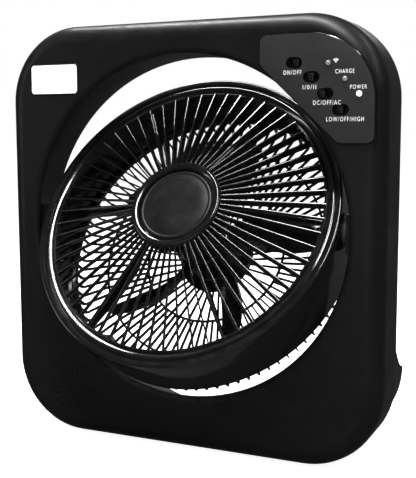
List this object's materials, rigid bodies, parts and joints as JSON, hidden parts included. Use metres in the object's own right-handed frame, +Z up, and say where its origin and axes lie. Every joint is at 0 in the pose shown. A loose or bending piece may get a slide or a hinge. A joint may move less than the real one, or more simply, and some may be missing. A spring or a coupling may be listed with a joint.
{
  "type": "box fan",
  "caption": "Rechargeable box fan: a round head with a domed guard tilts on side pivots inside a rounded-square casing with a control panel, night light and loudspeaker.",
  "frame": {"origin": "on the floor under the middle of the fan's box, with the head tilted up as at rest", "axes": "+Z up, -Y the way the fan faces, +X to the right seen from the front"},
  "size_m": [0.417, 0.2488, 0.442],
  "materials": {
    "casing_black": "satin black moulded plastic with a fine grain",
    "panel_charcoal": "matte grainy charcoal with a glossy rim",
    "guard_black": "gloss black moulded plastic",
    "cap_black": "gloss black disc",
    "blade_black": "gloss black plastic",
    "knob_black": "gloss black",
    "lens_white": "milky white diffuser",
    "led_clear": "smoked grey epoxy",
    "led_lit": "white epoxy, lit",
    "rubber_black": "matt rubber",
    "steel": "plain steel",
    "brass": "brass contact",
    "board_green": "solder mask on circuit board",
    "inner_grey": "plain moulded plastic",
    "battery_case": "battery case",
    "magnet_dark": "ferrite",
    "copper_winding": "enamelled winding and laminations",
    "paper_cone": "pressed paper"
  },
  "bodies": {
    "casing": {"front_shell": "casing_black", "rear_shell": "casing_black", "shell_screws": "steel", "rubber_feet": "rubber_black", "battery": "battery_case", "battery_strap": "steel", "battery_terminals": "brass", "charger_board": "board_green", "transformer": "copper_winding", "supply_posts": "inner_grey", "mains_inlet": "knob_black", "inlet_pins": "brass", "dc_jack": "knob_black", "dc_jack_pin": "brass", "control_panel": "panel_charcoal", "switch_cases": "steel", "wireless_led": "led_clear", "charge_led": "led_clear", "power_led": "led_lit", "control_board": "board_green", "board_posts": "inner_grey", "light_lens": "lens_white", "light_reflector": "inner_grey", "lamp_board": "board_green", "lamp_leds": "led_lit", "speaker_basket": "steel", "speaker_cone": "paper_cone", "speaker_magnet": "magnet_dark", "right_pivot_bracket": "casing_black", "left_pivot_bracket": "casing_black", "bracket_screws": "steel"},
    "head": {"right_pivot_pin": "guard_black", "left_pivot_pin": "guard_black", "friction_washers": "rubber_black", "barrel": "guard_black", "front_bezel": "guard_black", "front_grille": "guard_black", "hub_cap": "cap_black", "rear_grille": "guard_black", "guard_screws": "steel", "motor_can": "steel", "motor_end_plate": "steel", "front_bearing": "brass", "rear_bearing": "brass", "motor_magnets": "magnet_dark", "motor_screws": "steel"},
    "impeller": {"motor_shaft": "steel", "motor_armature": "copper_winding", "blade_nut": "blade_black", "impeller": "blade_black"},
    "power_switch_knob": {"power_switch_knob": "knob_black"},
    "mode_switch_knob": {"mode_switch_knob": "knob_black"},
    "source_switch_knob": {"source_switch_knob": "knob_black"},
    "speed_switch_knob": {"speed_switch_knob": "knob_black"}
  },
  "joints": [
    {"name": "head_tilt", "type": "hinge", "parent": "casing", "child": "head", "pos_m": [0, -0.01125, 0.2335], "axis": [1, 0, 0], "range_deg": [-26.7, 63.3]},
    {"name": "impeller_spin", "type": "hinge", "parent": "head", "child": "impeller", "pos_m": [0, -0.01125, 0.2335], "axis": [0, -0.8358, 0.549], "continuous": true},
    {"name": "power_switch_slide", "type": "slide", "parent": "casing", "child": "power_switch_knob", "axis": [1, 0, 0], "range_m": [-0.005, 0]},
    {"name": "mode_switch_slide", "type": "slide", "parent": "casing", "child": "mode_switch_knob", "axis": [1, 0, 0], "range_m": [-0.0025, 0.0025]},
    {"name": "source_switch_slide", "type": "slide", "parent": "casing", "child": "source_switch_knob", "axis": [1, 0, 0], "range_m": [0, 0.005]},
    {"name": "speed_switch_slide", "type": "slide", "parent": "casing", "child": "speed_switch_knob", "axis": [1, 0, 0], "range_m": [-0.0025, 0.0025]}
  ]
}
